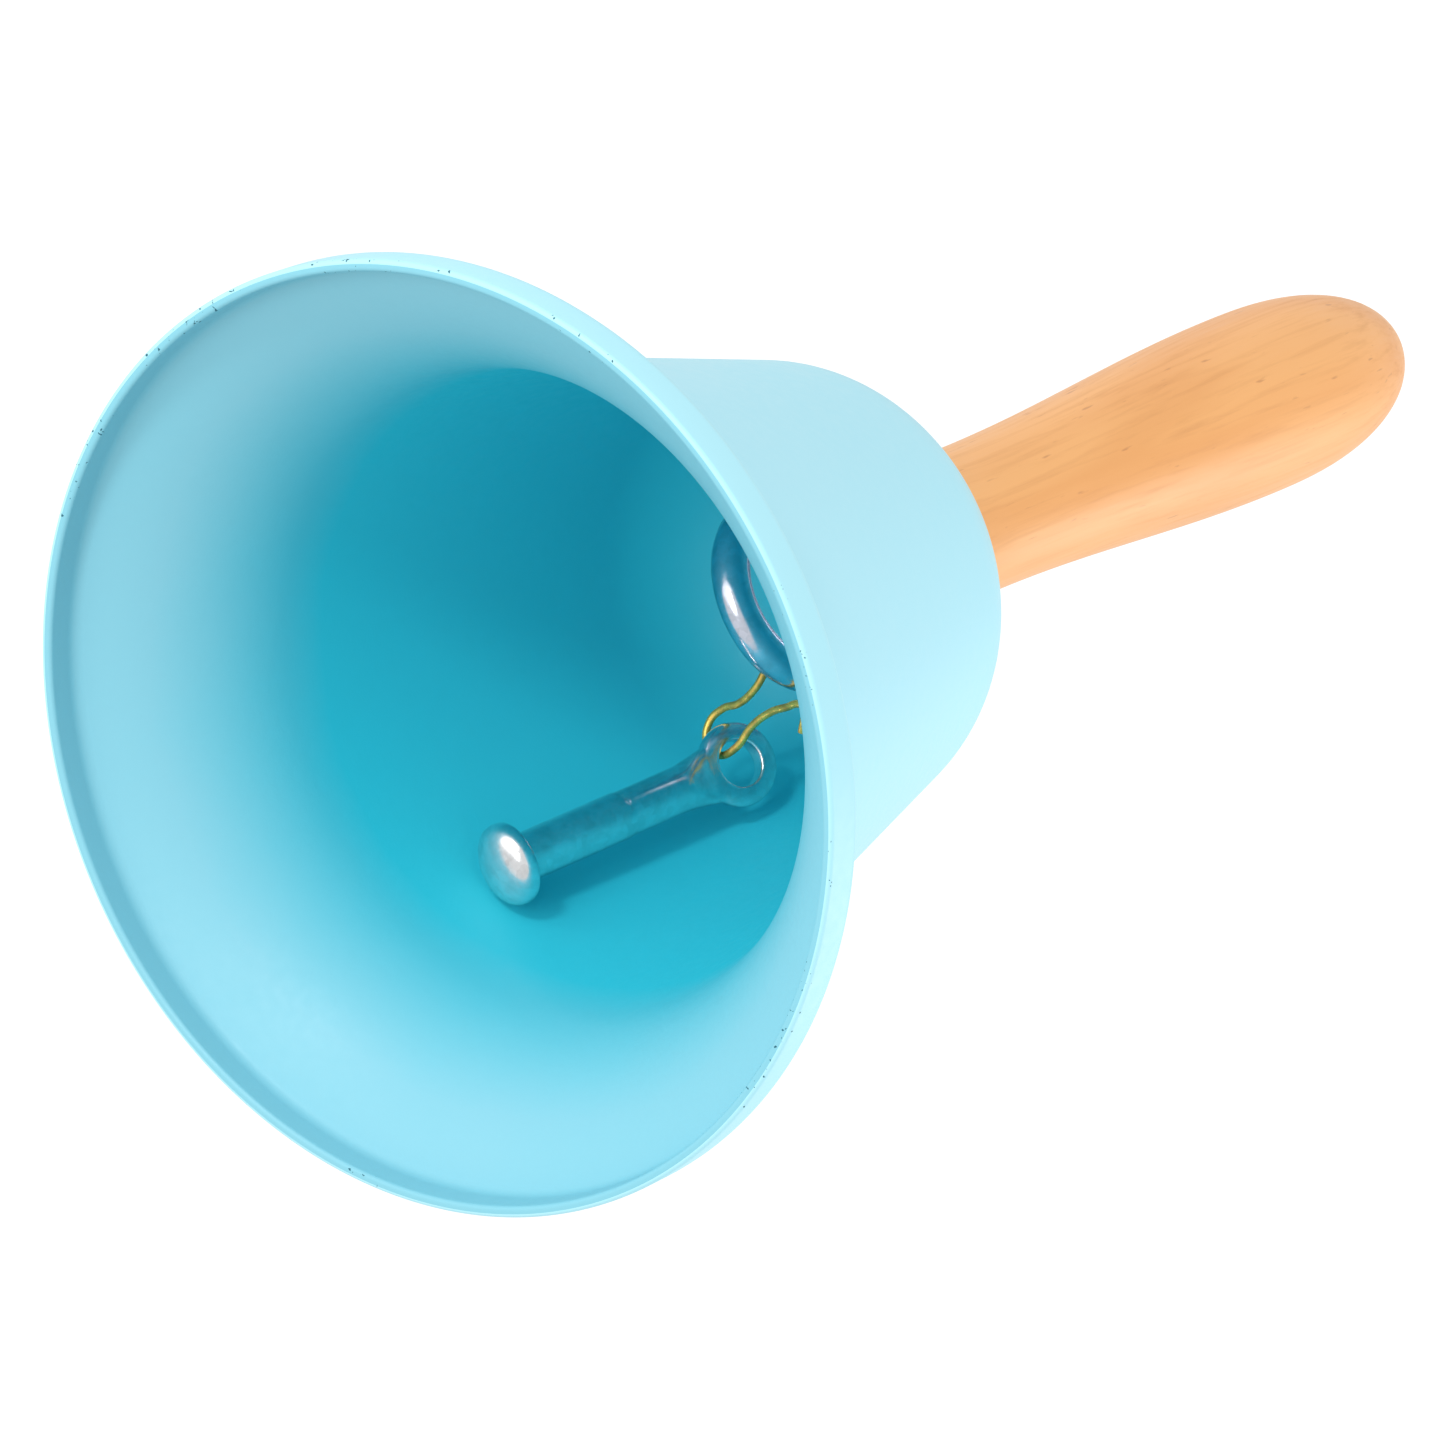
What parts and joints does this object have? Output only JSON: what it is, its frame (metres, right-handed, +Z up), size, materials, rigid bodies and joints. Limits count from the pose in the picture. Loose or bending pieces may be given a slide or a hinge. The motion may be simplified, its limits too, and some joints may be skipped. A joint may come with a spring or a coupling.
{
  "type": "handbell",
  "caption": "Small handbell: flared metal bell on a turned wooden handle, with a steel clapper hung by a wire link from a screw eye.",
  "frame": {"origin": "centre of the bell's mouth, in the plane of its rim", "axes": "+Z up the bell's axis to the handle's tip, +X in the plane of the screw eye's ring towards the side the clapper leans to"},
  "size_m": [0.078, 0.078, 0.151],
  "materials": {
    "blue_paint": "satin enamel",
    "turned_wood": "clear satin lacquer",
    "plated_steel": "bright zinc plate",
    "brass_wire": "bright drawn wire",
    "clapper_steel": "bright zinc plate"
  },
  "bodies": {
    "bell": {"bell_cup": "blue_paint", "handle": "turned_wood", "screw_eye": "plated_steel", "crown_washer": "plated_steel"},
    "link": {"wire_link": "brass_wire"},
    "clapper": {"clapper": "clapper_steel"}
  },
  "joints": [
    {"name": "link_swing", "type": "hinge", "parent": "bell", "child": "link", "pos_m": [0.00649, 0, 0.04853], "axis": [0.4042, 0, 0.9147], "range_deg": [-100, 0]},
    {"name": "clapper_swing", "type": "hinge", "parent": "link", "child": "clapper", "pos_m": [0.0115, 0.0095, 0.0476], "axis": [0, 0.9426, 0.3338], "range_deg": [0, 60]}
  ]
}
